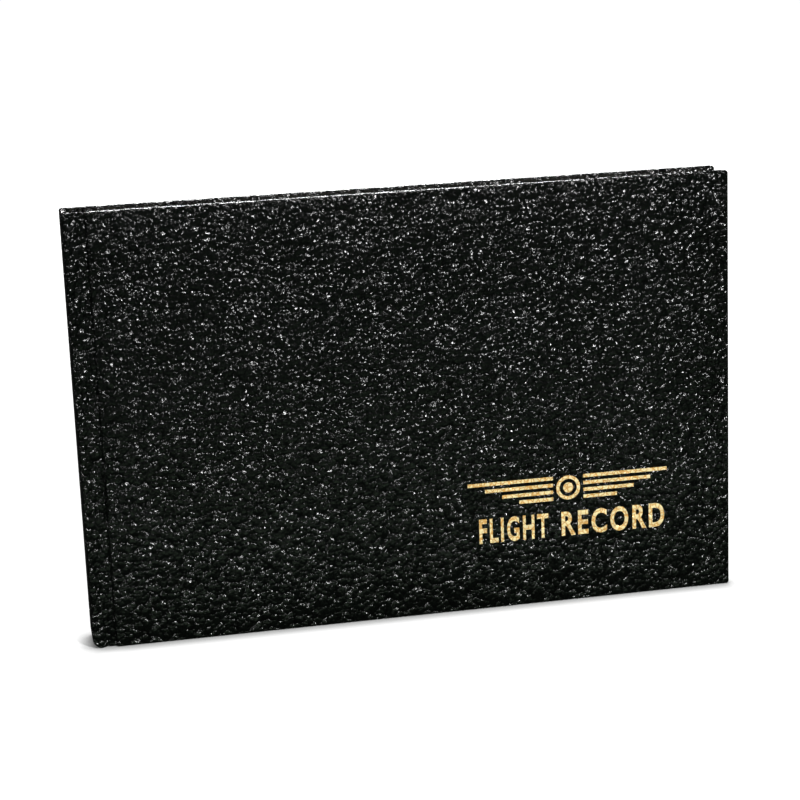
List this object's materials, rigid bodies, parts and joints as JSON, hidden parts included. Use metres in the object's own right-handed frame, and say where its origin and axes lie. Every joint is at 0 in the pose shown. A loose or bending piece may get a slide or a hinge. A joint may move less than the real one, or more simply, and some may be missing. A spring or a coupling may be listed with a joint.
{
  "type": "pilot logbook",
  "caption": "Landscape case-bound logbook with leatherette covers, sewn sections of ruled leaves, grooved joints and gold foil on the front cover.",
  "frame": {"origin": "on the surface the book stands on, under the middle of the book", "axes": "+X from spine to fore edge, +Y from front cover to back cover, +Z from tail to head"},
  "size_m": [0.235, 0.017, 0.154],
  "materials": {
    "leatherette": "black pebble-grained leatherette, semi-gloss",
    "grey_board": "grey board, matt",
    "endpaper": "smooth endpaper, matt",
    "page_paper": "ruled log paper, matt",
    "lining_paper": "brown kraft paper, matt",
    "muslin": "open-weave starched mull",
    "headband": "woven band, black and white stripes",
    "thread": "white sewing thread",
    "gold_foil": "stamped gold foil, satin"
  },
  "bodies": {
    "back_half": {"back_board": "grey_board", "back_cover_cloth": "leatherette", "back_mull_flap": "muslin", "back_pastedown": "endpaper", "back_hinge_cloth": "leatherette", "back_flyleaf": "endpaper", "back_endpaper_guard": "endpaper", "section_5": "page_paper", "section_6": "page_paper", "section_7": "page_paper", "section_8": "page_paper", "rear_sewing": "thread", "mull": "muslin", "spine_lining": "lining_paper", "head_band": "headband", "tail_band": "headband"},
    "spine": {"spine_inlay": "grey_board", "spine_cloth": "leatherette"},
    "leaf_1": {"leaf_1": "page_paper"},
    "leaf_2": {"leaf_2": "page_paper"},
    "leaf_3": {"leaf_3": "page_paper"},
    "front_half": {"section_1": "page_paper", "section_2": "page_paper", "section_3": "page_paper", "section_4": "page_paper", "front_sewing": "thread", "front_hinge_cloth": "leatherette", "front_endpaper_guard": "endpaper"},
    "front_flyleaf": {"front_flyleaf": "endpaper"},
    "front_cover": {"front_board": "grey_board", "front_cover_cloth": "leatherette", "front_mull_flap": "muslin", "front_pastedown": "endpaper", "foil_ornament": "gold_foil", "foil_title": "gold_foil"}
  },
  "joints": [
    {"name": "middle_open", "type": "hinge", "parent": "back_half", "child": "front_half", "pos_m": [-0.1149, 0, 0.077], "axis": [0, 0, -1], "range_deg": [0, 90], "deforming": ["mull", "spine_lining", "head_band", "tail_band"]},
    {"name": "spine_swing", "type": "hinge", "parent": "back_half", "child": "spine", "pos_m": [-0.1119, 0.00675, 0.077], "axis": [0, 0, -1], "range_deg": [0, 45]},
    {"name": "leaf_1_turn", "type": "hinge", "parent": "back_half", "child": "leaf_1", "pos_m": [-0.1146, -0.0003, 0.077], "axis": [0, 0, -1], "range_deg": [0, 67.5]},
    {"name": "leaf_2_turn", "type": "hinge", "parent": "back_half", "child": "leaf_2", "pos_m": [-0.1146, 0, 0.077], "axis": [0, 0, -1], "range_deg": [0, 45]},
    {"name": "leaf_3_turn", "type": "hinge", "parent": "back_half", "child": "leaf_3", "pos_m": [-0.1146, 0.0003, 0.077], "axis": [0, 0, -1], "range_deg": [0, 22.5]},
    {"name": "front_cover_open", "type": "hinge", "parent": "front_half", "child": "front_cover", "pos_m": [-0.1104, -0.01025, 0.077], "axis": [0, 0, -1], "range_deg": [0, 178]},
    {"name": "front_flyleaf_turn", "type": "hinge", "parent": "front_half", "child": "front_flyleaf", "pos_m": [-0.1053, -0.00498, 0.077], "axis": [0, 0, -1], "range_deg": [0, 71.2]}
  ],
  "couplings": [
    {"joint": "spine_swing", "follows": "middle_open", "ratio": 0.5},
    {"joint": "leaf_1_turn", "follows": "middle_open", "ratio": 0.75},
    {"joint": "leaf_2_turn", "follows": "middle_open", "ratio": 0.5},
    {"joint": "leaf_3_turn", "follows": "middle_open", "ratio": 0.25},
    {"joint": "front_flyleaf_turn", "follows": "front_cover_open", "ratio": 0.4}
  ]
}
